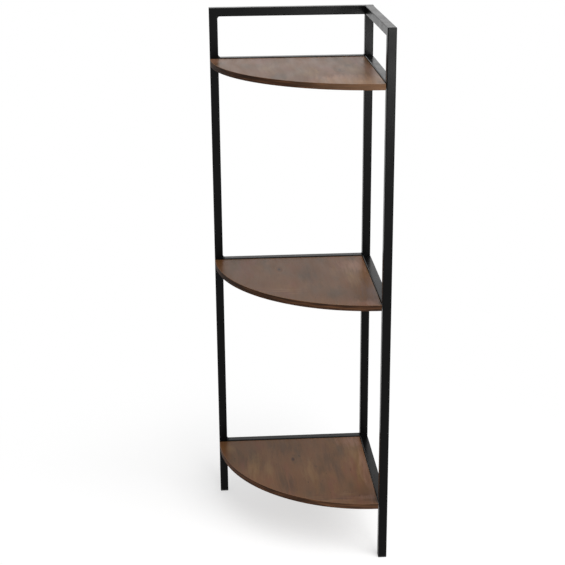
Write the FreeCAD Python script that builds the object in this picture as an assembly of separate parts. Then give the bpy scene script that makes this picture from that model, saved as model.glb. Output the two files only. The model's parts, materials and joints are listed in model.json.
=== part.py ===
import FreeCAD, Part
import os

# A corner shelf for a room's inner corner: a welded square-tube frame with three posts and
# four levels of rails, and three quarter-round boards that sit between the rails on welded tabs.
# Millimetres, +Z up. The frame is drawn from its outer back corner: the left side runs along -X,
# the right side along -Y. At the end everything is moved so that the origin is on the floor,
# in the middle of the whole shelf's box.

Vector = FreeCAD.Vector

# Frame
side_length = 290.0  # each side, from the outer back corner to the outside of the end post
frame_height = 940.0  # floor to the top of the top rails
gallery_height = 87.0  # top of the upper shelf's rails to the top of the frame
lower_shelf_height = 109.0  # floor to the top of the lower shelf's rails
tube_width = 15.0
tube_wall = 1.0
tube_corner = 1.5  # outside corner radius of the tube
end_cap_thickness = 1.5  # steel cap on the left top rail's end, over the corner post

# Boards
board_thickness = 10.0
board_step = 1.5  # the board's top lies this far below the top of its rails
board_gap = 1.2  # between the board's straight edges and the frame
edging_thickness = 1.0
edging_round = 0.4  # eased edges of the edging

# Tabs that carry the boards
tab_length = 22.0  # along the rail
tab_reach = 17.0  # out from the rail
tab_thickness = 2.0
tab_corner = 4.0
tab_inset = 50.0  # from the post's face to the middle of the tab
tab_hole_out = 9.5  # from the rail's face to the screw
tab_hole_clearance = 0.35

# Screws that hold the boards, driven up through the tabs
screw_radius = 1.75
screw_length = 9.5  # under the head
screw_point = 1.8
screw_head_radius = 3.6
screw_head_height = 2.2
screw_head_round = 1.1
screw_recess_length = 3.8
screw_recess_width = 0.9
screw_recess_depth = 1.3
pilot_clearance = 0.05
pilot_spare_depth = 0.8

# Bolts that join the right side's rails to the corner, and the nut blocks in those rails
bolt_radius = 3.0
bolt_length = 30.0  # under the head
bolt_head_radius = 5.25
bolt_head_height = 3.3
bolt_head_round = 1.6
bolt_socket_across = 4.0
bolt_socket_depth = 2.0
bolt_hole_clearance = 0.25
nut_block_length = 12.0
nut_clearance = 0.1  # nut block to the tube's inside
thread_clearance = 0.05

# Plastic plugs in the posts' open feet
plug_flange = 2.5
plug_flange_round = 0.8
plug_length = 14.0  # inside the tube
plug_core = 10.5
plug_ribs = 3
plug_rib_thickness = 1.2
plug_clearance = 0.1

cut_overrun = 5.0
same_place = 0.001

# Worked out from the sizes above
tube_bore = tube_width - 2 * tube_wall
bore_corner = tube_corner - tube_wall
rail_length = side_length - 2 * tube_width
board_corner = -(tube_width + board_gap)
board_radius = side_length - tube_width - board_gap
shelf_spacing = (frame_height - gallery_height - lower_shelf_height) / 2
shelf_heights = {
    "lower": lower_shelf_height,
    "middle": lower_shelf_height + shelf_spacing,
    "upper": lower_shelf_height + 2 * shelf_spacing,
}
tab_places = (tube_width + tab_inset, side_length - tube_width - tab_inset)

UP = Vector(0, 0, 1)
OUT_LEFT = Vector(-1, 0, 0)
OUT_RIGHT = Vector(0, -1, 0)


def along(shape, start, direction):
    """Lays a shape drawn from the origin up +Z along another direction from a start point."""
    placed = shape.copy()
    placed.Placement = FreeCAD.Placement(start, FreeCAD.Rotation(UP, direction))
    return placed


def to_side(shape, side):
    """Left stays as drawn; right is its mirror image across the room corner's diagonal."""
    if side == "left":
        return shape
    return shape.mirror(Vector(0, 0, 0), Vector(1, -1, 0))


def is_upright(edge):
    """Tells an edge that runs up a box from one that lies level."""
    return abs(edge.tangentAt(edge.FirstParameter).z) > 0.5


def square_bar(width, corner, length):
    """A square bar with rounded long edges, centred on the Z axis."""
    bar = Part.makeBox(width, width, length, Vector(-width / 2, -width / 2, 0))
    return bar.makeFillet(corner, [edge for edge in bar.Edges if is_upright(edge)])


def rims_at(shape, height):
    """The round edges of a shape that lie at one height."""
    rounds = [edge for edge in shape.Edges if isinstance(edge.Curve, Part.Circle)]
    return [edge for edge in rounds if abs(edge.CenterOfMass.z - height) < same_place]


def square_tube(length):
    bore = square_bar(tube_bore, bore_corner, length)
    return square_bar(tube_width, tube_corner, length).cut(bore)


def mitre_wedge(keep_post):
    """The half of the outer top corner block that belongs to the other member of the mitre."""
    outer, inner = -side_length, -side_length + tube_width
    top, under = frame_height, frame_height - tube_width
    run = cut_overrun
    if keep_post:
        corners = [(outer - run, top + run), (inner + run, top + run), (inner + run, under - run)]
    else:
        corners = [(outer - run, top + run), (outer - run, under - run), (inner + run, under - run)]
    points = [Vector(x, run, z) for x, z in corners]
    face = Part.Face(Part.makePolygon(points + points[:1]))
    return face.extrude(Vector(0, -(tube_width + 2 * run), 0))


def end_post():
    """The outer post of a side, mitred at the top to meet the top rail."""
    middle = Vector(-side_length + tube_width / 2, -tube_width / 2, plug_flange)
    post = along(square_tube(frame_height - plug_flange), middle, UP)
    return post.cut(mitre_wedge(keep_post=True))


def bolt_hole(height):
    """Runs through the corner from back to front, at the middle of a right rail's end."""
    radius = bolt_radius + bolt_hole_clearance
    start = Vector(-tube_width / 2, cut_overrun, height - tube_width / 2)
    return Part.makeCylinder(radius, tube_width + 2 * cut_overrun, start, OUT_RIGHT)


def corner_post():
    """Stands under the left top rail and takes the bolts of the right side's shelf rails."""
    middle = Vector(-tube_width / 2, -tube_width / 2, plug_flange)
    post = along(square_tube(frame_height - tube_width - plug_flange), middle, UP)
    return post.cut([bolt_hole(height) for height in shelf_heights.values()])


def top_rail(inner_end):
    """Runs from a point near the room corner to the mitre over the end post."""
    start = Vector(-inner_end, -tube_width / 2, frame_height - tube_width / 2)
    rail = along(square_tube(side_length - inner_end), start, OUT_LEFT)
    return rail.cut(mitre_wedge(keep_post=False))


def top_rail_cap():
    """Closes the left top rail's end, flush with the corner."""
    cap = square_bar(tube_width, tube_corner, end_cap_thickness)
    return along(cap, Vector(0, -tube_width / 2, frame_height - tube_width / 2), OUT_LEFT)


def shelf_rail(height):
    """Fits between the posts; height is its top face."""
    start = Vector(-tube_width, -tube_width / 2, height - tube_width / 2)
    return along(square_tube(rail_length), start, OUT_LEFT)


def board_underside(rail_top):
    return rail_top - board_step - board_thickness


def quarter_disc(radius, thickness):
    """A quarter disc with its square corner at the board's corner, up from the XY plane."""
    corner = Vector(board_corner, board_corner, 0)
    left_tip = corner + OUT_LEFT * radius
    right_tip = corner + OUT_RIGHT * radius
    bulge = corner + (OUT_LEFT + OUT_RIGHT).normalize() * radius
    outline = [
        Part.LineSegment(corner, left_tip).toShape(),
        Part.Arc(left_tip, bulge, right_tip).toShape(),
        Part.LineSegment(right_tip, corner).toShape(),
    ]
    return Part.Face(Part.Wire(outline)).extrude(UP * thickness)


def tab_point(place, side):
    """Where a tab's screw goes, at height zero."""
    if side == "left":
        return Vector(-place, -tube_width - tab_hole_out, 0)
    return Vector(-tube_width - tab_hole_out, -place, 0)


def screw_points(rail_top):
    under = UP * board_underside(rail_top)
    return [tab_point(place, side) + under for side in ("left", "right") for place in tab_places]


def board(rail_top):
    """The board without its edging, with blind pilot holes for the screws."""
    core = quarter_disc(board_radius - edging_thickness, board_thickness)
    core.translate(UP * board_underside(rail_top))
    depth = screw_length - tab_thickness + pilot_spare_depth
    radius = screw_radius + pilot_clearance
    return core.cut([Part.makeCylinder(radius, depth, point) for point in screw_points(rail_top)])


def edging(rail_top):
    """The strip glued round the board's curved edge, flush above and below."""
    whole = quarter_disc(board_radius, board_thickness)
    whole = whole.makeFillet(edging_round, rims_at(whole, 0) + rims_at(whole, board_thickness))
    strip = whole.cut(quarter_disc(board_radius - edging_thickness, board_thickness))
    strip.translate(UP * board_underside(rail_top))
    return strip


def tab(rail_top, place):
    """A flat steel tab on the rail's inner face, under the board."""
    top = board_underside(rail_top)
    low = Vector(-place - tab_length / 2, -tube_width - tab_reach, top - tab_thickness)
    plate = Part.makeBox(tab_length, tab_reach, tab_thickness, low)
    free_corners = [edge for edge in plate.Edges if is_free_corner(edge, low)]
    plate = plate.makeFillet(tab_corner, free_corners)
    hole_foot = tab_point(place, "left") + UP * (top - tab_thickness - cut_overrun)
    hole = Part.makeCylinder(screw_radius + tab_hole_clearance, tab_thickness + 2 * cut_overrun, hole_foot)
    return plate.cut(hole)


def is_free_corner(edge, low):
    """Tells a tab's two corners away from the rail from those at the rail."""
    return is_upright(edge) and abs(edge.CenterOfMass.y - low.y) < same_place


def board_screw(point):
    """Pan head with a cross recess under the tab, shank up into the board; point is on its axis."""
    seat = point - UP * tab_thickness
    head_low = seat - UP * screw_head_height
    head = Part.makeCylinder(screw_head_radius, screw_head_height, head_low)
    head = head.makeFillet(screw_head_round, rims_at(head, head_low.z))
    straight = screw_length - screw_point
    shank = Part.makeCylinder(screw_radius, straight, seat)
    tip = Part.makeCone(screw_radius, screw_radius / 4, screw_point, seat + UP * straight)
    recess = cross_recess().translated(head_low)
    return head.fuse([shank, tip]).removeSplitter().cut(recess)


def cross_recess():
    long, wide, deep = screw_recess_length, screw_recess_width, screw_recess_depth
    first = Part.makeBox(long, wide, deep, Vector(-long / 2, -wide / 2, 0))
    second = Part.makeBox(wide, long, deep, Vector(-wide / 2, -long / 2, 0))
    return first.fuse(second)


def frame_bolt(rail_top):
    """Button-head socket bolt, drawn up +Z from under its head and then laid towards the rail."""
    head = Part.makeCylinder(bolt_head_radius, bolt_head_height, Vector(0, 0, -bolt_head_height))
    head = head.makeFillet(bolt_head_round, rims_at(head, -bolt_head_height))
    shank = Part.makeCylinder(bolt_radius, bolt_length)
    socket = hexagon_prism(bolt_socket_across, bolt_socket_depth)
    socket.translate(Vector(0, 0, -bolt_head_height))
    bolt = head.fuse(shank).cut(socket)
    return along(bolt, Vector(-tube_width / 2, 0, rail_top - tube_width / 2), OUT_RIGHT)


def hexagon_prism(across, depth):
    """Six-sided prism of a width across flats, from the XY plane up."""
    sides = 6
    turn = FreeCAD.Rotation(UP, 360 / sides)
    points = [Vector(across / 3**0.5, 0, 0)]
    while len(points) < sides:
        points.append(turn.multVec(points[-1]))
    return Part.Face(Part.makePolygon(points + points[:1])).extrude(UP * depth)


def rail_end_nut(rail_top):
    """A threaded block welded flush into the corner end of a right rail."""
    block = square_bar(tube_bore - 2 * nut_clearance, bore_corner, nut_block_length)
    block = block.cut(Part.makeCylinder(bolt_radius + thread_clearance, nut_block_length))
    return along(block, Vector(-tube_width / 2, -tube_width, rail_top - tube_width / 2), OUT_RIGHT)


def plug():
    """Ribbed plug with its outer face on the XY plane and its shank up +Z, inside the tube."""
    flange = square_bar(tube_width, tube_corner, plug_flange)
    rim = [edge for edge in flange.Edges if abs(edge.CenterOfMass.z) < same_place]
    flange = flange.makeFillet(plug_flange_round, rim)
    core = square_bar(plug_core, bore_corner, plug_flange + plug_length)
    ribs = []
    for number in range(plug_ribs):
        rib = square_bar(tube_bore - 2 * plug_clearance, bore_corner, plug_rib_thickness)
        height = plug_flange + (number + 1) * plug_length / (plug_ribs + 1)
        ribs.append(rib.translated(UP * height))
    return flange.fuse([core] + ribs)


def foot(x, y):
    """The plug under a post, placed by the outer back corner of the post's tube."""
    return plug().translated(Vector(x - tube_width / 2, y - tube_width / 2, 0))


def frame_nodes():
    nodes = {
        "left_post": end_post(),
        "right_post": to_side(end_post(), "right"),
        "corner_post": corner_post(),
        "top_rail_left": top_rail(end_cap_thickness).cut(bolt_hole(frame_height)),
        "top_rail_cap": top_rail_cap(),
        "top_rail_right": to_side(top_rail(tube_width), "right"),
    }
    for level, height in shelf_heights.items():
        for side in ("left", "right"):
            nodes[f"{level}_rail_{side}"] = to_side(shelf_rail(height), side)
            for number, place in enumerate(tab_places, 1):
                nodes[f"{level}_tab_{side}_{number}"] = to_side(tab(height, place), side)
    return nodes


def board_nodes():
    nodes = {}
    for level, height in shelf_heights.items():
        nodes[f"{level}_board"] = board(height)
        nodes[f"{level}_edging"] = edging(height)
    return nodes


def foot_nodes():
    end = tube_width - side_length
    return {"left_foot": foot(end, 0), "corner_foot": foot(0, 0), "right_foot": foot(0, end)}


def fastener_nodes():
    rail_tops = list(shelf_heights.values()) + [frame_height]
    screws = [board_screw(point) for height in shelf_heights.values() for point in screw_points(height)]
    return {
        "board_screws": Part.makeCompound(screws),
        "frame_bolts": Part.makeCompound([frame_bolt(height) for height in rail_tops]),
        "rail_end_nuts": Part.makeCompound([rail_end_nut(height) for height in rail_tops]),
    }


def main():
    os.makedirs("parts", exist_ok=True)
    nodes = {**frame_nodes(), **board_nodes(), **foot_nodes(), **fastener_nodes()}
    to_origin = Vector(side_length / 2, (side_length - bolt_head_height) / 2, 0)
    for name, shape in nodes.items():
        shape.translated(to_origin).exportStep(f"parts/{name}.step")
        print(name, len(shape.Solids), "solid(s)", round(shape.Volume, 1), "mm3", shape.isValid())


main()
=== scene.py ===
import json
import math
import random

import bmesh
import bpy
from mathutils import Matrix, Vector


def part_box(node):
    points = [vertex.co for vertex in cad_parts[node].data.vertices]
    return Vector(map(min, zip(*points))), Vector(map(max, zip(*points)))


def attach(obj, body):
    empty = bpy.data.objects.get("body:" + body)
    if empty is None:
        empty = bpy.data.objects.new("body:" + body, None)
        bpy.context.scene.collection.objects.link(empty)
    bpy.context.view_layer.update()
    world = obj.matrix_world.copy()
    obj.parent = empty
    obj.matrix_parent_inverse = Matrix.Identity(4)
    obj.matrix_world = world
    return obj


# The dressed look of a corner shelf: black powder-coated square tube, three quarter-round
# boards faced with a walnut decor, their edging strips, plugs, bolts and screws, and the
# weld beads in the frame's corners. Lengths are in metres, or in millimetres where a name or
# a comment says so.

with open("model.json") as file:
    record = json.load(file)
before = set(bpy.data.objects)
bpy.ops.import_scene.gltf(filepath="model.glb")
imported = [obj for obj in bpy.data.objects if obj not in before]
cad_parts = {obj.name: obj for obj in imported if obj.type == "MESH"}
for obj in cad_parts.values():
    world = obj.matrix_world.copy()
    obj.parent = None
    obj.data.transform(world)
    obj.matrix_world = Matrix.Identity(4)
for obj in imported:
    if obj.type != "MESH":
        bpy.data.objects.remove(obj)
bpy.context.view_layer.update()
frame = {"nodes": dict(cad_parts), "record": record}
nodes = frame["nodes"]
levels = ("lower", "middle", "upper")

# Camera, at the photograph's viewing angle
camera_place_mm = (-170.0, -2199.4, 1229.7)
camera_turn = 3.693  # degrees to the right of straight ahead
camera_tilt = 18.906  # degrees down
camera_roll = 0.456  # degrees clockwise, seen from behind the camera
camera_lens_mm = 83.85
camera_sensor_mm = 36.0

# Studio, places and sizes in metres
background_light = 0.32  # how strongly the white background lights the shelf; it is seen at 1
floor_radius = 4.0
floor_sides = 96
floor_grey = 0.8  # for the light that it throws back on the shelf
floor_grey_seen = 1.1  # in the picture and in reflections
floor_white_share = 0.6  # of what is seen under the shelf; the rest shows the shadow
floor_fade_start = 0.15  # from the shelf's middle to where the floor begins to turn all white
floor_fade_end = 0.8
sun_strength = 2.6
sun_width = 50  # degrees
sun_direction = (0.37, -0.53, 0.77)  # from the shelf to it
softboxes = {  # place, what it faces, width, watts
    "front_softbox": ((0.64, -2.3, 0.7), (0.1, 0, 0.7), 0.62, 14),
    "back_softbox": ((0.2, 2.6, 1.4), (0, 0, 0.7), 1.4, 1.3),
}

# Gloss, as the shader's specular level, which is usually 0.5. It is lower here because the
# studio is white all round, and more gloss would turn the black coat and brown boards pale.
coat_gloss = 0.09
decor_gloss = 0.08
edging_gloss = 0.06

# Powder coat
peel_mm = 2.2  # really about 0.8 mm across; drawn coarser so that it shows
peel_depth_mm = 0.2
thin_coat_mm = 1.2  # how far the coat pulls back from an arris
coat_grit_mm = 0.9
coat_sheen_mm = 45  # size of its duller and glossier patches

# Streaks of the boards' decor: width and length in millimetres, detail, roughness, and a shift
# that takes each from another stretch of the noise. Real grain lines are 0.2 mm wide and
# pores 0.3 mm; both are drawn about ten times as wide so that they show.
decor_streaks = {
    "ground": (30, 120, 4.0, 0.55, 0.0),
    "warm": (22, 80, 4.0, 0.58, 7.3),
    "patch_rim": (6, 55, 4.0, 0.6, 6.0),
    "cross_rim": (30, 8, 4.0, 0.6, 30.0),
    "cloud": (70, 110, 2.0, 0.5, 11.0),
    "line": (2.4, 70, 2.0, 0.5, 3.1),
    "pore": (2.6, 15, 1.0, 0.4, 5.7),
    "sheen": (14, 90, 3.0, 0.5, 0.0),
    "relief": (2.4, 50, 1.0, 0.4, 0.0),
}
cross_band = (60, 5, 3.0)  # width, length, detail
streak_depth_mm = 60  # up and down, so that boards at other heights have other streaks
sway_mm = 18  # how far the streaks wander sideways
sway_length_mm = 120
decor_relief_mm = 0.03
chip_mm = 1.6  # of the raw chipboard in the straight edges

# Marks in each board's decor, in millimetres. Places are right and back of the shelf's middle.
mark_end = 1.3  # in half widths from its middle, where a mark has faded out
knots = {  # place, width
    "lower": (-8, 40, 8),
    "middle": (-30, 60, 7),
    "upper": (70, -10, 7),
}
knot_bow_shares = (1.6, 4)  # of its width: how wide and long the bow of the grain round it is
knot_bow_strength = 0.35
knot_strength = 0.9
cross_marks = {  # place, width, length
    "lower": (72, -122, 110, 40),
    "middle": (-40, -60, 90, 40),
    "upper": (112, -112, 56, 40),
}
cross_strength = 0.75
cross_fray = 0.65
tones = {  # strength, how ragged, colour
    "ochre": (0.6, 0.65, "#785c3b"),
    "olive": (0.75, 0.65, "#483322"),
    "rosy": (0.5, 0.65, "#683e31"),
    "pink": (0.6, 0.65, "#846252"),
    "tan": (0.9, 0.2, "#9a7454"),
    "mauve": (0.6, 0.65, "#5c4a46"),
}
patches = {  # tone, place, width, length
    "lower": [
        ("ochre", 18, -15, 22, 75), ("ochre", 109, 55, 32, 100), ("ochre", -128, 97, 16, 34),
        ("ochre", -84, 25, 24, 90), ("ochre", -55, -5, 18, 60), ("ochre", 112, -20, 16, 80),
        ("olive", -35, -44, 20, 90), ("olive", -20, -62, 18, 90), ("olive", -22, 98, 60, 80),
        ("olive", 72, 5, 16, 140), ("olive", 56, 48, 14, 110),
        ("pink", 106, 108, 40, 50), ("rosy", -105, 25, 16, 50),
        ("pink", 112, -120, 34, 14), ("rosy", 80, -122, 44, 14),
        ("pink", 121, 8, 14, 210), ("olive", 68, -122, 50, 10)],
    "middle": [
        ("rosy", -95, 60, 30, 110), ("olive", 20, 20, 26, 110), ("ochre", 95, 20, 24, 120),
        ("pink", 106, 66, 54, 70), ("mauve", 118, -78, 34, 110), ("pink", 114, -128, 50, 26)],
    "upper": [
        ("pink", 70, -85, 64, 70), ("ochre", 15, -30, 40, 80), ("tan", 108, -120, 165, 110),
        ("pink", -138, 110, 44, 64), ("rosy", 108, 62, 14, 100), ("rosy", -60, 90, 30, 60),
        ("ochre", -48, 10, 26, 90), ("ochre", 94, -10, 40, 100), ("pink", 119, -15, 14, 120)],
}

# Edging strips. Streaks: length and width in millimetres, detail. The ends of each stretch are
# degrees about the board's corner, from -180 at the left tip to -90 at the right one.
edging_streaks = {
    "broad": (50, 3.5, 4.0),
    "line": (30, 1.2, 2.0),
    "sheen": (35, 2, 2.0),
}
edging_relief_mm = 0.15
# Painted light: each strip is lighter towards its right end, which faces the front lamp; how
# strongly, per board
painted_light_ends = (-124, -92)
painted_light_strength = {"lower": 0.1, "middle": 0.0, "upper": 0.75}
# Painted shade at the left end of the middle and upper strips, which lie away from the light, and a
# painted sheen there on the lower strip, where the brightness is above 1
painted_shade_and_sheen_ends = (-156, -134)
painted_shade_and_sheen_brightness = {"lower": 1.5, "middle": 0.5, "upper": 0.55}  # times the streaks' own

# Foot plugs
mould_grain_mm = 0.6  # really 0.2 mm, from spark erosion; drawn coarser so that it shows
mould_grain_depth_mm = 0.08
scuff_mm = 4

# Steels of the fittings, by the record's slot: name, light and dark tone, least and most rough
steels = {
    "bolt_steel": ("black_zinc_plated_bolt_steel", "#3a3a3c", "#232325", 0.32, 0.45),
    "screw_steel": ("bright_zinc_plated_screw_steel", "#c3c6ca", "#8f9397", 0.24, 0.4),
    "nut_steel": ("bare_mild_steel", "#9a9894", "#6f6c68", 0.35, 0.5),
}
steel_cloud_mm = 3
turning_mark_mm = 0.35
turning_mark_depth_mm = 0.05

# Weld beads
bead_leg_mm = 3.0
flush_bead_leg_mm = 1.2  # at the corner post, where the beads are ground nearly flush
tab_bead_leg_mm = 1.8
bead_inset_mm = 1.5  # from the joint's end to the bead's
bead_sink_mm = 0.5  # how far a bead reaches into the steel that it joins
bead_ripple_mm = 1.3  # from one ripple to the next
bead_ripple_height_mm = 0.22
bead_unevenness_mm = 0.075
bead_throat_share = 0.6  # of the leg; a flat bead has 0.71, so these are a little hollow
bead_taper_share = 1 / 6  # of the bead's length, over which each end swells to full size
bead_end_share = 0.25  # of the full section, where the bead starts and ends
bead_steps_per_ripple = 6
bead_least_steps = 8
bead_sides = 8

LEFT = Vector((-1, 0, 0))
RIGHT = Vector((1, 0, 0))
FRONT = Vector((0, -1, 0))
BACK = Vector((0, 1, 0))
UP = Vector((0, 0, 1))
DOWN = Vector((0, 0, -1))

# A Mix node has sockets for every kind of value. These are the ones that mix colours.
MIX_FACTOR = 0
MIX_UNDER = 6
MIX_OVER = 7
MIX_RESULT = 2


def mm(value):
    return value / 1000


def per_size(size_mm):
    """How many times a pattern of that size in millimetres goes into a metre."""
    return 1000 / size_mm


def colour(hex_text):
    """An sRGB hex colour as linear red, green, blue and alpha."""
    parts = [int(hex_text[i : i + 2], 16) / 255 for i in (1, 3, 5)]
    linear = [c / 12.92 if c <= 0.04045 else ((c + 0.055) / 1.055) ** 2.4 for c in parts]
    return (*linear, 1.0)


def grey(brightness):
    return (brightness, brightness, brightness, 1.0)


def add(tree, kind, inputs=None, stops=None, **settings):
    """Adds one node. An input is a value or another node's output; stops fill a colour ramp."""
    node = tree.nodes.new(kind)
    for name, value in settings.items():
        setattr(node, name, value)
    for name, value in (inputs or {}).items():
        if isinstance(value, bpy.types.NodeSocket):
            tree.links.new(value, node.inputs[name])
        else:
            node.inputs[name].default_value = value
    if stops:
        ramp = node.color_ramp
        while len(ramp.elements) < len(stops):
            ramp.elements.new(0.5)
        for element, (place, shade) in zip(ramp.elements, stops):
            element.position = place
            element.color = shade
    return node


def new_material(name):
    """An empty material, its node tree, and the place of each point of the piece it is on."""
    material = bpy.data.materials.new(name)
    material.use_nodes = True
    tree = material.node_tree
    tree.nodes.clear()
    place = add(tree, "ShaderNodeTexCoord").outputs["Object"]
    return material, tree, place


def facing_up(tree):
    """How far a face looks up: 1 level and up, 0 upright, -1 level and down."""
    normal = add(tree, "ShaderNodeNewGeometry").outputs["Normal"]
    return add(tree, "ShaderNodeSeparateXYZ", {0: normal}).outputs["Z"]


def streaks(tree, place, x_size, y_size, detail, roughness=0.5, shift=0.0):
    """Noise drawn out into streaks, whose sizes along X and Y are in millimetres."""
    stretched = add(tree, "ShaderNodeMapping", {
        "Vector": place,
        "Location": (shift, 0.0, 0.0),
        "Scale": (per_size(x_size), per_size(y_size), per_size(streak_depth_mm))})
    noise = add(tree, "ShaderNodeTexNoise", {
        "Vector": stretched.outputs[0], "Scale": 1.0, "Detail": detail, "Roughness": roughness})
    return noise.outputs["Fac"]


def black_powder_coat():
    """Semi-gloss black polyester powder, baked on steel tube: a deep black that mirrors softly
    at a flat angle, with a faint orange-peel dimple and a coat that pulls thin on the arrises."""
    material, tree, place = new_material("black_powder_coat_on_steel_tube")
    peel = add(tree, "ShaderNodeTexNoise", {
        "Vector": place, "Scale": per_size(peel_mm), "Detail": 2.0})
    sheen = add(tree, "ShaderNodeTexNoise", {
        "Vector": place, "Scale": per_size(coat_sheen_mm), "Detail": 4.0})
    grit = add(tree, "ShaderNodeTexNoise", {
        "Vector": place, "Scale": per_size(coat_grit_mm), "Detail": 1.0})

    # On an arris the eased normal turns away from the face's own.
    eased = add(tree, "ShaderNodeBevel", {"Radius": mm(thin_coat_mm)}, samples=4)
    normal = add(tree, "ShaderNodeNewGeometry").outputs["Normal"]
    flatness = add(tree, "ShaderNodeVectorMath", {
        0: eased.outputs[0], 1: normal}, operation="DOT_PRODUCT")
    arris = add(tree, "ShaderNodeMapRange", {
        "Value": flatness.outputs["Value"],
        "From Min": 0.98, "From Max": 0.8, "To Min": 0.0, "To Max": 0.5})
    thin = add(tree, "ShaderNodeMath", {
        0: arris.outputs[0], 1: grit.outputs["Fac"]}, operation="MULTIPLY")
    shade = add(tree, "ShaderNodeMix", {
        MIX_FACTOR: thin.outputs[0],
        MIX_UNDER: colour("#050505"),
        MIX_OVER: colour("#161617")}, data_type="RGBA")

    roughness = add(tree, "ShaderNodeMapRange", {
        "Value": sheen.outputs["Fac"],
        "From Min": 0.3, "From Max": 0.7, "To Min": 0.24, "To Max": 0.32})
    bump = add(tree, "ShaderNodeBump", {
        "Height": peel.outputs["Fac"], "Strength": 0.08, "Distance": mm(peel_depth_mm)})
    shader = add(tree, "ShaderNodeBsdfPrincipled", {
        "Base Color": shade.outputs[MIX_RESULT], "Roughness": roughness.outputs[0],
        "IOR": 1.5, "Specular IOR Level": coat_gloss, "Normal": bump.outputs[0]})
    add(tree, "ShaderNodeOutputMaterial", {"Surface": shader.outputs[0]})
    return material


def oval_reach(tree, place, x, y, width, length):
    """The way to a point of a board from the middle of an oval mark, and how far that is: 0 in
    the middle, 1 on the rim. The mark's place and size are in millimetres."""
    way = add(tree, "ShaderNodeVectorMath", {
        0: place, 1: (mm(x), mm(y), 0.0)}, operation="SUBTRACT").outputs[0]
    scaled = add(tree, "ShaderNodeVectorMath", {
        0: way, 1: (per_size(width / 2), per_size(length / 2), 0.0)}, operation="MULTIPLY")
    reach = add(tree, "ShaderNodeVectorMath", {0: scaled.outputs[0]}, operation="LENGTH")
    return way, reach.outputs["Value"]


def ragged(tree, reach, rim, strength, fray):
    """How strong an oval mark is at each point, from strength in its middle to nothing a little
    past its rim. The streaks called rim break it up, by up to fray times its half width."""
    broken = add(tree, "ShaderNodeMapRange", {
        "Value": rim, "From Min": 0.3, "From Max": 0.7, "To Min": -fray, "To Max": fray})
    frayed = add(tree, "ShaderNodeMath", {0: reach, 1: broken.outputs[0]}, operation="ADD")
    faded = add(tree, "ShaderNodeMapRange", {
        "Value": frayed.outputs[0],
        "From Min": mark_end, "From Max": 0.0, "To Min": 0.0, "To Max": strength})
    return faded.outputs[0]


def board_grain(tree, place, knot):
    """The place that each point of a board takes its grain from, and the knot's strength there.
    Grain lines bow out round the knot, because points beside it take the grain nearer its
    middle, and all of them wander a little sideways along the board."""
    x, y, width = knot
    wide, long = knot_bow_shares
    way, reach = oval_reach(tree, place, x, y, width * wide, width * long)
    squared = add(tree, "ShaderNodeMath", {0: reach, 1: reach}, operation="MULTIPLY")
    rise = add(tree, "ShaderNodeMath", {0: squared.outputs[0]}, operation="EXPONENT")
    share = add(tree, "ShaderNodeMath", {
        0: knot_bow_strength, 1: rise.outputs[0]}, operation="DIVIDE")
    bow = add(tree, "ShaderNodeVectorMath", {0: way, "Scale": share.outputs[0]}, operation="SCALE")
    bowed = add(tree, "ShaderNodeVectorMath", {0: place, 1: bow.outputs[0]}, operation="SUBTRACT")
    stain = add(tree, "ShaderNodeMapRange", {
        "Value": reach, "From Min": 0.2, "From Max": 0.7, "To Min": knot_strength, "To Max": 0.0})

    drift = add(tree, "ShaderNodeTexNoise", {
        "Vector": place, "Scale": per_size(sway_length_mm), "Detail": 1.0})
    centred = add(tree, "ShaderNodeVectorMath", {
        0: drift.outputs["Color"], 1: (0.5, 0.5, 0.5)}, operation="SUBTRACT")
    sway = add(tree, "ShaderNodeVectorMath", {
        0: centred.outputs[0], 1: (mm(sway_mm), 0.0, 0.0)}, operation="MULTIPLY")
    grain = add(tree, "ShaderNodeVectorMath", {
        0: bowed.outputs[0], 1: sway.outputs[0]}, operation="ADD")
    return grain.outputs[0], stain.outputs[0]


def raw_chipboard(tree, place):
    """The pale wood chips that a board's straight edges show."""
    chips = add(tree, "ShaderNodeTexVoronoi", {"Vector": place, "Scale": per_size(chip_mm)})
    shade = add(tree, "ShaderNodeMix", {
        MIX_FACTOR: chips.outputs["Distance"],
        MIX_UNDER: colour("#b8935f"),
        MIX_OVER: colour("#7a5a38")}, data_type="RGBA")
    return shade.outputs[MIX_RESULT]


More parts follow.
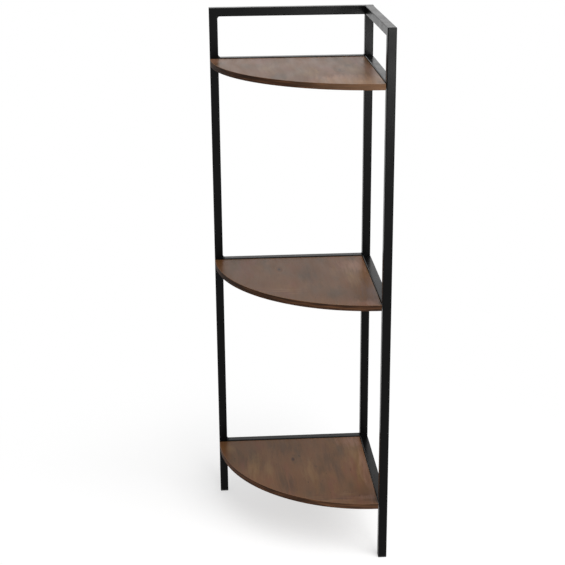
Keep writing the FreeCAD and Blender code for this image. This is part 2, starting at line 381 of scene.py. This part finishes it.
def walnut_decor(level):
    """Melamine-faced board with a rustic walnut decor: flat brown with olive, rosy and ochre
    patches that run from back to front, short dark pores and a knot, under a silky sheen."""
    material, tree, place = new_material(f"walnut_decor_on_{level}_board")
    grain, stained = board_grain(tree, place, knots[level])
    drawn = {name: streaks(tree, grain, *sizes) for name, sizes in decor_streaks.items()}
    face = add(tree, "ShaderNodeValToRGB", {"Fac": drawn["ground"]}, stops=[
        (0.34, colour("#533c27")), (0.46, colour("#60422a")),
        (0.56, colour("#62422a")), (0.68, colour("#66402d"))]).outputs[0]
    warm = add(tree, "ShaderNodeMapRange", {
        "Value": drawn["warm"], "From Min": 0.54, "From Max": 0.7, "To Min": 0.0, "To Max": 0.35})
    layers = [(warm.outputs[0], colour("#755431"))]

    # Where the tree forked, the grain runs from side to side.
    bands = add(tree, "ShaderNodeValToRGB", {"Fac": streaks(tree, place, *cross_band)}, stops=[
        (0.42, colour("#573629")), (0.5, colour("#62422f")), (0.6, colour("#77583b"))])
    _, reach = oval_reach(tree, place, *cross_marks[level])
    crossed = ragged(tree, reach, drawn["cross_rim"], cross_strength, cross_fray)
    layers.append((crossed, bands.outputs[0]))

    for tone, *place_and_size in patches[level]:
        strength, fray, shade = tones[tone]
        _, reach = oval_reach(tree, grain, *place_and_size)
        layers.append((ragged(tree, reach, drawn["patch_rim"], strength, fray), colour(shade)))
    for mask, over in layers:
        face = add(tree, "ShaderNodeMix", {
            MIX_FACTOR: mask, MIX_UNDER: face, MIX_OVER: over},
            data_type="RGBA").outputs[MIX_RESULT]

    for name, dark, light in (("cloud", 0.9, 1.1), ("line", 0.965, 1.035)):
        brightness = add(tree, "ShaderNodeMapRange", {
            "Value": drawn[name],
            "From Min": 0.35, "From Max": 0.65, "To Min": dark, "To Max": light})
        face = add(tree, "ShaderNodeVectorMath", {
            0: face, "Scale": brightness.outputs[0]}, operation="SCALE").outputs[0]

    pores = add(tree, "ShaderNodeMapRange", {
        "Value": drawn["pore"], "From Min": 0.71, "From Max": 0.77, "To Min": 0.0, "To Max": 0.5})
    for mask, over in ((pores.outputs[0], colour("#2f231a")), (stained, colour("#2b170d"))):
        face = add(tree, "ShaderNodeMix", {
            MIX_FACTOR: mask, MIX_UNDER: face, MIX_OVER: over},
            data_type="RGBA").outputs[MIX_RESULT]

    # Only the level faces have the decor.
    level_face = add(tree, "ShaderNodeMath", {0: facing_up(tree)}, operation="ABSOLUTE")
    decorated = add(tree, "ShaderNodeMath", {
        0: level_face.outputs[0], 1: 0.5}, operation="GREATER_THAN")
    shade = add(tree, "ShaderNodeMix", {
        MIX_FACTOR: decorated.outputs[0],
        MIX_UNDER: raw_chipboard(tree, place),
        MIX_OVER: face}, data_type="RGBA")

    roughness = add(tree, "ShaderNodeMapRange", {
        "Value": drawn["sheen"], "From Min": 0.3, "From Max": 0.7, "To Min": 0.32, "To Max": 0.4})
    bump = add(tree, "ShaderNodeBump", {
        "Height": drawn["relief"], "Strength": 0.03, "Distance": mm(decor_relief_mm)})
    shader = add(tree, "ShaderNodeBsdfPrincipled", {
        "Base Color": shade.outputs[MIX_RESULT], "Roughness": roughness.outputs[0],
        "IOR": 1.5, "Specular IOR Level": decor_gloss, "Normal": bump.outputs[0]})
    add(tree, "ShaderNodeOutputMaterial", {"Surface": shader.outputs[0]})
    return material


def walnut_edging(level):
    """Printed plastic edging strip: dark brown wood streaks that run along the strip, with painted
    shade at the left end of the middle and upper strips, a painted sheen at the lower strip's left
    end, and painted light towards the right end."""
    material, tree, place = new_material(f"walnut_edging_on_{level}_board")
    # The strip is a quarter circle about the board's back corner, and as wide as its radius.
    _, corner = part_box(f"{level}_board")
    radius = nodes[f"{level}_edging"].dimensions.x
    out = add(tree, "ShaderNodeVectorMath", {
        0: place, 1: (corner.x, corner.y, 0.0)}, operation="SUBTRACT")
    parts = add(tree, "ShaderNodeSeparateXYZ", {0: out.outputs[0]})
    turn = add(tree, "ShaderNodeMath", {
        0: parts.outputs["Y"], 1: parts.outputs["X"]}, operation="ARCTAN2").outputs[0]
    run = add(tree, "ShaderNodeMath", {0: turn, 1: radius}, operation="MULTIPLY")
    along = add(tree, "ShaderNodeCombineXYZ", {
        "X": run.outputs[0], "Y": parts.outputs["Z"]}).outputs[0]
    drawn = {name: streaks(tree, along, *sizes) for name, sizes in edging_streaks.items()}

    broad = add(tree, "ShaderNodeValToRGB", {"Fac": drawn["broad"]}, stops=[
        (0.36, colour("#2d1f16")), (0.52, colour("#402a1d")), (0.72, colour("#5f402a"))])
    # Painted light: the strip turns lighter towards its right end
    start, end = painted_light_ends
    painted_light = add(tree, "ShaderNodeMapRange", {
        "Value": turn, "From Min": math.radians(start), "From Max": math.radians(end),
        "To Min": 0.0, "To Max": painted_light_strength[level]})
    painted_lighter = add(tree, "ShaderNodeMix", {
        MIX_FACTOR: painted_light.outputs[0],
        MIX_UNDER: broad.outputs[0],
        MIX_OVER: colour("#765943")}, data_type="RGBA")
    line = add(tree, "ShaderNodeMapRange", {
        "Value": drawn["line"], "From Min": 0.35, "From Max": 0.65, "To Min": 0.8, "To Max": 1.2})
    # Painted shade at the strip's left end, and a painted sheen there on the lower board
    start, end = painted_shade_and_sheen_ends
    painted_shade_and_sheen = add(tree, "ShaderNodeMapRange", {
        "Value": turn, "From Min": math.radians(start), "From Max": math.radians(end),
        "To Min": painted_shade_and_sheen_brightness[level], "To Max": 1.0})
    brightness = add(tree, "ShaderNodeMath", {
        0: line.outputs[0], 1: painted_shade_and_sheen.outputs[0]}, operation="MULTIPLY")
    printed = add(tree, "ShaderNodeVectorMath", {
        0: painted_lighter.outputs[MIX_RESULT], "Scale": brightness.outputs[0]}, operation="SCALE")

    # The strip's trimmed upper and lower edges show its tan plastic, without the print.
    level_face = add(tree, "ShaderNodeMath", {0: facing_up(tree)}, operation="ABSOLUTE")
    trimmed = add(tree, "ShaderNodeMapRange", {
        "Value": level_face.outputs[0], "From Min": 0.3, "From Max": 0.8})
    shade = add(tree, "ShaderNodeMix", {
        MIX_FACTOR: trimmed.outputs[0],
        MIX_UNDER: printed.outputs[0],
        MIX_OVER: colour("#725540")}, data_type="RGBA")

    roughness = add(tree, "ShaderNodeMapRange", {
        "Value": drawn["sheen"], "From Min": 0.3, "From Max": 0.7, "To Min": 0.6, "To Max": 0.7})
    bump = add(tree, "ShaderNodeBump", {
        "Height": drawn["line"], "Strength": 0.2, "Distance": mm(edging_relief_mm)})
    shader = add(tree, "ShaderNodeBsdfPrincipled", {
        "Base Color": shade.outputs[MIX_RESULT], "Roughness": roughness.outputs[0],
        "IOR": 1.5, "Specular IOR Level": edging_gloss, "Normal": bump.outputs[0]})
    add(tree, "ShaderNodeOutputMaterial", {"Surface": shader.outputs[0]})
    return material


def moulded_foot_plastic():
    """Injection-moulded black polyethylene: waxy, duller than the coat, scuffed grey underneath."""
    material, tree, place = new_material("moulded_black_polyethylene")
    mould_grain = add(tree, "ShaderNodeTexNoise", {
        "Vector": place, "Scale": per_size(mould_grain_mm), "Detail": 3.0})
    scuffs = add(tree, "ShaderNodeTexNoise", {
        "Vector": place, "Scale": per_size(scuff_mm), "Detail": 6.0})
    under = add(tree, "ShaderNodeMapRange", {
        "Value": facing_up(tree), "From Min": -0.6, "From Max": -1.0})
    scuffed = add(tree, "ShaderNodeMapRange", {
        "Value": scuffs.outputs["Fac"],
        "From Min": 0.5, "From Max": 0.65, "To Min": 0.0, "To Max": 0.7})
    worn = add(tree, "ShaderNodeMath", {
        0: under.outputs[0], 1: scuffed.outputs[0]}, operation="MULTIPLY")
    shade = add(tree, "ShaderNodeMix", {
        MIX_FACTOR: worn.outputs[0],
        MIX_UNDER: colour("#141414"),
        MIX_OVER: colour("#4a4845")}, data_type="RGBA")
    roughness = add(tree, "ShaderNodeMapRange", {
        "Value": scuffs.outputs["Fac"], "To Min": 0.5, "To Max": 0.65})
    bump = add(tree, "ShaderNodeBump", {
        "Height": mould_grain.outputs["Fac"], "Strength": 0.3,
        "Distance": mm(mould_grain_depth_mm)})
    shader = add(tree, "ShaderNodeBsdfPrincipled", {
        "Base Color": shade.outputs[MIX_RESULT], "Roughness": roughness.outputs[0],
        "IOR": 1.51, "Normal": bump.outputs[0]})
    add(tree, "ShaderNodeOutputMaterial", {"Surface": shader.outputs[0]})
    return material


def turned_steel(name, light, dark, smooth, rough):
    """Plated or bare steel: a cloudy metal with fine turning marks and duller patches."""
    material, tree, place = new_material(name)
    clouds = add(tree, "ShaderNodeTexNoise", {
        "Vector": place, "Scale": per_size(steel_cloud_mm), "Detail": 4.0})
    marks = add(tree, "ShaderNodeTexNoise", {
        "Vector": place, "Scale": per_size(turning_mark_mm), "Detail": 2.0})
    shade = add(tree, "ShaderNodeMix", {
        MIX_FACTOR: clouds.outputs["Fac"],
        MIX_UNDER: colour(light),
        MIX_OVER: colour(dark)}, data_type="RGBA")
    roughness = add(tree, "ShaderNodeMapRange", {
        "Value": clouds.outputs["Fac"],
        "From Min": 0.3, "From Max": 0.7, "To Min": smooth, "To Max": rough})
    bump = add(tree, "ShaderNodeBump", {
        "Height": marks.outputs["Fac"], "Strength": 0.15,
        "Distance": mm(turning_mark_depth_mm)})
    shader = add(tree, "ShaderNodeBsdfPrincipled", {
        "Base Color": shade.outputs[MIX_RESULT], "Metallic": 1.0,
        "Roughness": roughness.outputs[0], "Normal": bump.outputs[0]})
    add(tree, "ShaderNodeOutputMaterial", {"Surface": shader.outputs[0]})
    return material


def in_scene(name, data):
    """A new object of this mesh, lamp or camera, linked into the scene."""
    made = bpy.data.objects.new(name, data)
    bpy.context.scene.collection.objects.link(made)
    return made


def dress(node_name, material):
    """Gives a node of the frame its finish."""
    for slot in nodes[node_name].material_slots:
        slot.material = material


def dress_boards():
    for level in levels:
        dress(f"{level}_board", walnut_decor(level))
        dress(f"{level}_edging", walnut_edging(level))


def dress_frame_and_fittings(coat):
    """Dresses each of the other nodes by the slot that the record gives it."""
    finishes = {"frame_coat": coat, "foot_plastic": moulded_foot_plastic()}
    for slot, steel in steels.items():
        finishes[slot] = turned_steel(*steel)
    for part in frame["record"]["subparts"]:
        if part["material_slot"] in finishes:
            dress(part["node"], finishes[part["material_slot"]])


def weld_bead(beads, draws, start, end, leg_a, leg_b, leg_mm):
    """Adds one rippled bead to a mesh, in the corner line from start to end. leg_a and leg_b are
    the directions of the two faces that it joins."""
    line = end - start
    ripples = line.length / mm(bead_ripple_mm)
    steps = max(bead_least_steps, round(ripples * bead_steps_per_ripple))
    rows = []
    for step in range(steps + 1):
        share = step / steps
        at = start + line * share
        ripple = mm(bead_ripple_height_mm) * math.cos(2 * math.pi * share * ripples)
        swell = ripple + mm(bead_unevenness_mm) * draws.uniform(-1, 1)
        from_end = min(share, 1 - share) / bead_taper_share
        section = min(1.0, bead_end_share + (1 - bead_end_share) * from_end)
        size = (mm(leg_mm) + swell) * math.sqrt(section)
        row = []
        for side in range(bead_sides + 1):
            angle = math.pi / 2 * side / bead_sides
            hollow = (1 - bead_throat_share) / 2 * (1 - math.cos(4 * angle))
            reach = size * (1 - hollow)
            point = at + leg_a * (reach * math.cos(angle)) + leg_b * (reach * math.sin(angle))
            row.append(beads.verts.new(point))
        row.append(beads.verts.new(at - (leg_a + leg_b) * mm(bead_sink_mm)))
        rows.append(row)
    for first, second in zip(rows, rows[1:]):
        for index in range(len(first)):
            other = (index + 1) % len(first)
            beads.faces.new((first[index], second[index], second[other], first[other]))
    beads.faces.new(rows[0])
    beads.faces.new(list(reversed(rows[-1])))


def weld(name, joints, coat, seed):
    """Makes one coated piece of the beads along these joints. Each joint is its bead's start and
    end, the directions of the two faces, and the bead's leg."""
    beads = bmesh.new()
    draws = random.Random(seed)
    for joint in joints:
        weld_bead(beads, draws, *joint)
    bmesh.ops.recalc_face_normals(beads, faces=beads.faces)
    data = bpy.data.meshes.new(name)
    beads.to_mesh(data)
    beads.free()
    for face in data.polygons:
        face.use_smooth = True
    data.materials.append(coat)
    piece = in_scene(name, data)
    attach(piece, "root")


def rail_faces(side):
    """The rail faces of one side that beads lie on, each as its height and the way that it
    faces: the top and underside of each board's rail, and the underside of the top rail, which
    rests on the corner post."""
    faces = []
    for level in levels:
        low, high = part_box(f"{level}_rail_{side}")
        faces += [(high.z, UP), (low.z, DOWN)]
    _, corner_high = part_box("corner_post")
    return faces + [(corner_high.z, DOWN)]


def left_frame_joints():
    """Where the left rails meet the left post and the corner post."""
    post_low, post_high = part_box("left_post")
    corner_low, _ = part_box("corner_post")
    near = post_low.y + mm(bead_inset_mm)
    far = post_high.y - mm(bead_inset_mm)
    posts = [(post_high.x, RIGHT, bead_leg_mm), (corner_low.x, LEFT, flush_bead_leg_mm)]
    joints = []
    for x, away, leg_mm in posts:
        for z, upright in rail_faces("left"):
            joints.append((Vector((x, near, z)), Vector((x, far, z)), away, upright, leg_mm))
    return joints


def right_frame_joints():
    """Where the right rails meet the right post; their other ends are bolted."""
    post_low, post_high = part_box("right_post")
    near = post_low.x + mm(bead_inset_mm)
    far = post_high.x - mm(bead_inset_mm)
    y = post_high.y
    joints = []
    for z, upright in rail_faces("right"):
        joints.append((Vector((near, y, z)), Vector((far, y, z)), BACK, upright, bead_leg_mm))
    return joints


def tab_joints():
    """Where each board tab's underside meets its rail."""
    inset = mm(bead_inset_mm)
    joints = []
    for level in levels:
        for number in (1, 2):
            low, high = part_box(f"{level}_tab_left_{number}")
            start = Vector((low.x + inset, high.y, low.z))
            end = Vector((high.x - inset, high.y, low.z))
            joints.append((start, end, FRONT, DOWN, tab_bead_leg_mm))
            low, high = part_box(f"{level}_tab_right_{number}")
            start = Vector((high.x, low.y + inset, low.z))
            end = Vector((high.x, high.y - inset, low.z))
            joints.append((start, end, LEFT, DOWN, tab_bead_leg_mm))
    return joints


def seen_directly(tree):
    """1 where the picture, a mirroring surface or glass shows a thing, 0 where it only lights."""
    path = add(tree, "ShaderNodeLightPath")
    seen = add(tree, "ShaderNodeMath", {
        0: path.outputs["Is Camera Ray"], 1: path.outputs["Is Glossy Ray"]}, operation="MAXIMUM")
    shown = add(tree, "ShaderNodeMath", {
        0: seen.outputs[0], 1: path.outputs["Is Transmission Ray"]}, operation="MAXIMUM")
    return shown.outputs[0]


def white_background():
    """A white world that lights the shelf less strongly than it is seen."""
    world = bpy.data.worlds.new("studio")
    bpy.context.scene.world = world
    world.use_nodes = True
    tree = world.node_tree
    tree.nodes.clear()
    strength = add(tree, "ShaderNodeMapRange", {
        "Value": seen_directly(tree), "To Min": background_light, "To Max": 1.0})
    sky = add(tree, "ShaderNodeBackground", {
        "Color": grey(1.0), "Strength": strength.outputs[0]})
    add(tree, "ShaderNodeOutputWorld", {"Surface": sky.outputs[0]})


def pale_floor():
    """A pale floor that keeps the shelf's soft shadow and turns white further out."""
    bpy.ops.mesh.primitive_circle_add(
        vertices=floor_sides, radius=floor_radius, fill_type="NGON", location=(0, 0, 0))
    floor = bpy.context.object
    floor.name = "studio_floor"
    material, tree, place = new_material("pale_studio_floor")
    shown = seen_directly(tree)
    away = add(tree, "ShaderNodeVectorMath", {0: place}, operation="LENGTH")
    whiteness = add(tree, "ShaderNodeMapRange", {
        "Value": away.outputs["Value"],
        "From Min": floor_fade_start, "From Max": floor_fade_end, "To Min": floor_white_share},
        interpolation_type="SMOOTHSTEP")
    white_share = add(tree, "ShaderNodeMath", {
        0: whiteness.outputs[0], 1: shown}, operation="MULTIPLY")
    shade = add(tree, "ShaderNodeMix", {
        MIX_FACTOR: shown,
        MIX_UNDER: grey(floor_grey),
        MIX_OVER: grey(floor_grey_seen)}, data_type="RGBA")
    lit = add(tree, "ShaderNodeBsdfDiffuse", {"Color": shade.outputs[MIX_RESULT]})
    white = add(tree, "ShaderNodeEmission", {"Color": grey(1.0), "Strength": 1.0})
    surface = add(tree, "ShaderNodeMixShader", {
        0: white_share.outputs[0], 1: lit.outputs[0], 2: white.outputs[0]})
    add(tree, "ShaderNodeOutputMaterial", {"Surface": surface.outputs[0]})
    floor.data.materials.append(material)


def softbox(name, place, target, width, watts):
    data = bpy.data.lights.new(name, "AREA")
    data.shape = "DISK"
    data.size = width
    data.energy = watts
    box = in_scene(name, data)
    box.location = place
    box.rotation_euler = (Vector(target) - Vector(place)).to_track_quat("-Z", "Y").to_euler()
    box.visible_camera = False


def studio_lamps():
    data = bpy.data.lights.new("large_softbox", "SUN")
    data.energy = sun_strength
    data.angle = math.radians(sun_width)
    sun = in_scene("large_softbox", data)
    sun.rotation_euler = Vector(sun_direction).to_track_quat("Z", "Y").to_euler()
    for name, placing in softboxes.items():
        softbox(name, *placing)


def camera():
    data = bpy.data.cameras.new("photo_camera")
    data.sensor_width = camera_sensor_mm
    data.lens = camera_lens_mm
    data.dof.use_dof = False
    eye = in_scene("photo_camera", data)
    turn = Matrix.Rotation(-math.radians(camera_turn), 4, "Z")
    tilt = Matrix.Rotation(math.radians(90 - camera_tilt), 4, "X")
    roll = Matrix.Rotation(-math.radians(camera_roll), 4, "Z")
    place = Matrix.Translation([mm(value) for value in camera_place_mm])
    eye.matrix_world = place @ turn @ tilt @ roll
    bpy.context.scene.camera = eye


def main():
    coat = black_powder_coat()
    dress_boards()
    dress_frame_and_fittings(coat)
    weld("left_frame_welds", left_frame_joints(), coat, seed=11)
    weld("right_frame_welds", right_frame_joints(), coat, seed=12)
    weld("tab_welds", tab_joints(), coat, seed=13)
    white_background()
    pale_floor()
    studio_lamps()
    camera()
    bpy.context.scene.view_settings.view_transform = "Standard"


main()
